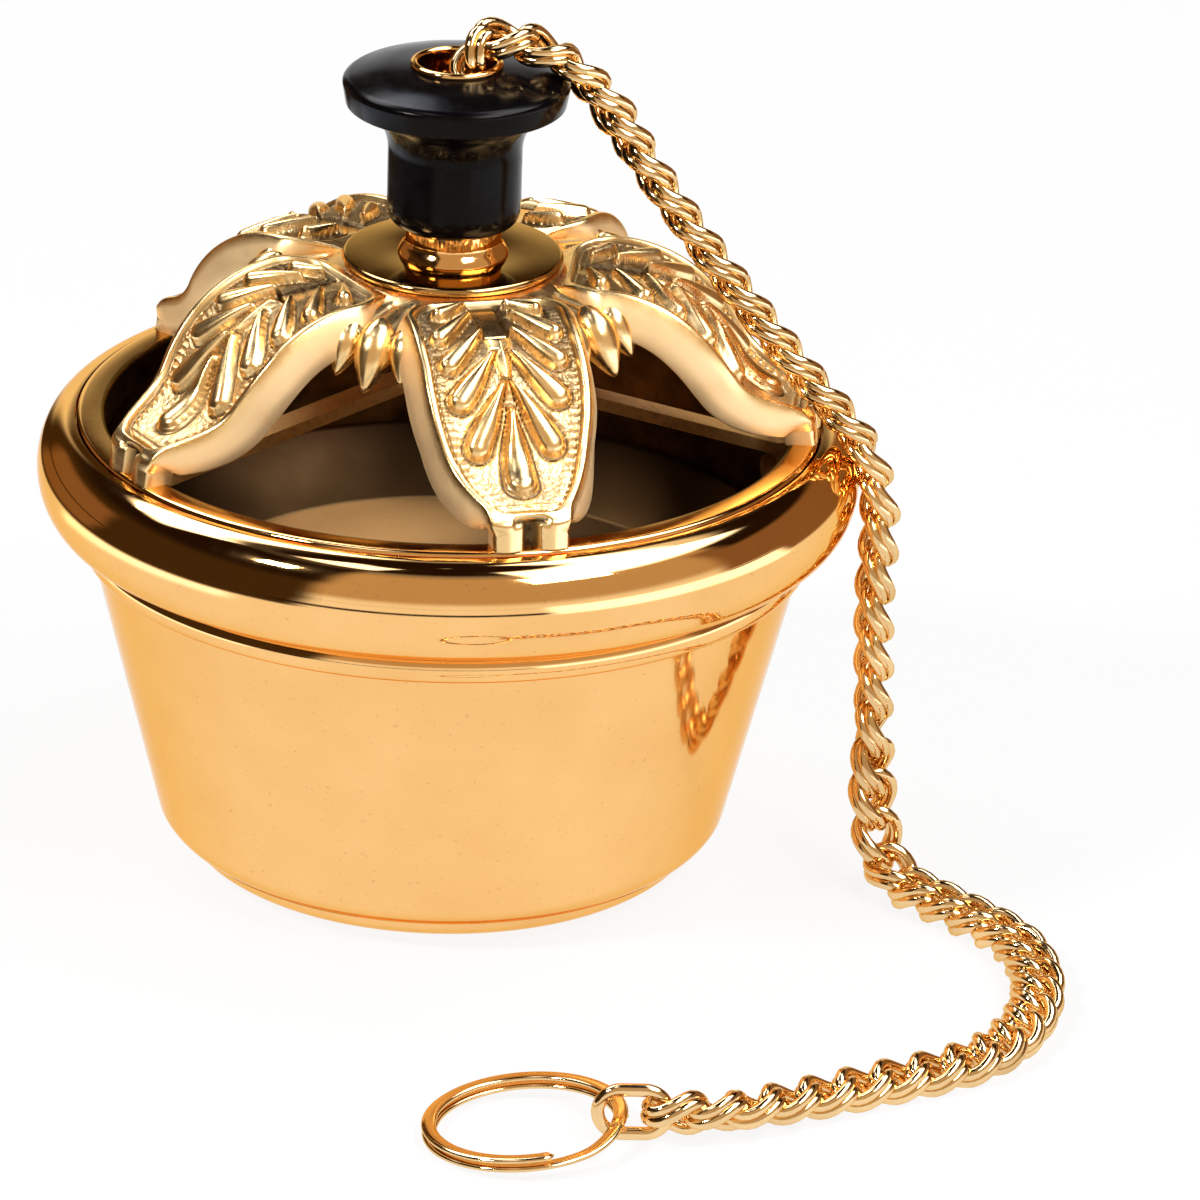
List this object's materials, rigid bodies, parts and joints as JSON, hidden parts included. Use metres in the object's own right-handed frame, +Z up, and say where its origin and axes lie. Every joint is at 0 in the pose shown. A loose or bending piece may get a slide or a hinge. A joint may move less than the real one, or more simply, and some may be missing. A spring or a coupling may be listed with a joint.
{
  "type": "censer",
  "caption": "Round brass censer on a low foot, with a pierced leaf cover that slides up its chain, a black turned knob and a chain ending in a finger ring.",
  "frame": {"origin": "centre of the foot's standing face", "axes": "+Z up along the bowl's axis, -Y towards the viewer of the picture, +X to the side where the chain hangs"},
  "size_m": [0.1583, 0.1858, 0.1357],
  "materials": {
    "polished_brass": "mirror polished, lacquered",
    "cast_brass": "satin cast, bright on its crests",
    "inner_brass": "dull and darkened",
    "black_knob": "high gloss"
  },
  "bodies": {
    "bowl": {"foot_ring": "polished_brass", "bowl_body": "polished_brass", "bowl_rim": "polished_brass", "bail_strap": "cast_brass", "bail_rivet_right": "inner_brass", "bail_rivet_left": "inner_brass", "chain_eye_bolt": "inner_brass", "chain_eye_nut": "inner_brass", "chain_inner": "polished_brass", "chain_hanging": "polished_brass", "chain_on_table": "polished_brass", "end_link": "polished_brass"},
    "pan": {"charcoal_pan": "inner_brass"},
    "cover": {"cover_ring": "polished_brass", "cover_leaves": "cast_brass", "collar_flange": "polished_brass", "neck_ferrule": "polished_brass", "knob": "black_knob", "knob_tube": "polished_brass", "tube_washer": "inner_brass", "tube_nut": "inner_brass", "chain_over_knob": "polished_brass"},
    "ring": {"finger_ring": "polished_brass"}
  },
  "joints": [
    {"name": "cover_lift", "type": "slide", "parent": "bowl", "child": "cover", "axis": [0, 0, 1], "range_m": [0, 0.036], "deforming": ["chain_hanging"]},
    {"name": "pan_lift", "type": "slide", "parent": "bowl", "child": "pan", "axis": [0, 0, 1], "range_m": [0, 0.0045]},
    {"name": "ring_swing", "type": "hinge", "parent": "bowl", "child": "ring", "pos_m": [0.02753, -0.107, 0.004], "axis": [0, 1, 0], "range_deg": [0, 120]}
  ]
}
